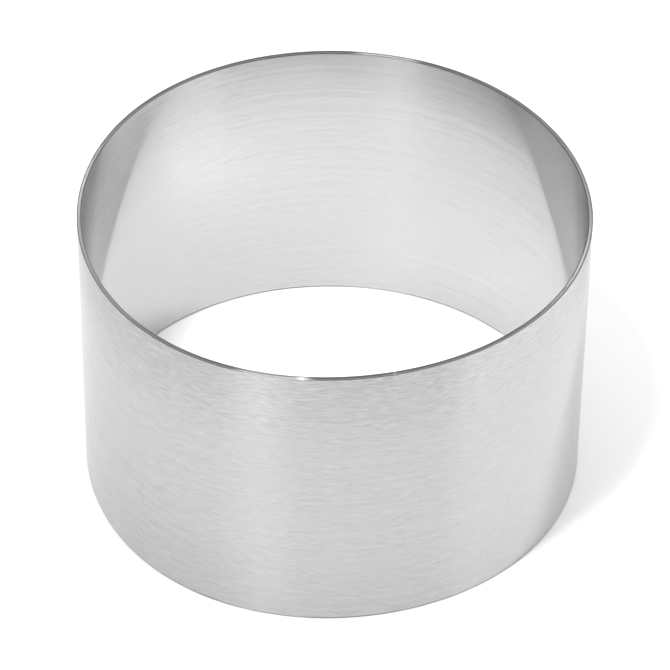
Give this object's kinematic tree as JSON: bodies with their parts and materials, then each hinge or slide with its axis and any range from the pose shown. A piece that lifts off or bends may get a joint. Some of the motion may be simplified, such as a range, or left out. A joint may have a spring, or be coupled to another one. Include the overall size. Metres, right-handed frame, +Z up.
{
  "type": "pastry ring",
  "caption": "Deep open pastry ring of thin satin-brushed stainless steel, rolled from a strip and butt-welded, for shaping and building up cakes, mousses and tarts.",
  "frame": {"origin": "centre of the ring's base, in the plane that the lower rim stands on", "axes": "+Z up along the ring's axis, +X through the weld seam, the picture's front towards -Y"},
  "size_m": [0.08, 0.08, 0.05],
  "materials": {
    "satin_steel": "satin, brushed in fine lines that run round the ring, with the cut edges rounded over and left duller",
    "dressed_weld": "weld ground flush and brushed over in the same direction as the strip"
  },
  "bodies": {
    "root": {"rolled_band": "satin_steel", "weld_seam": "dressed_weld"}
  },
  "joints": []
}
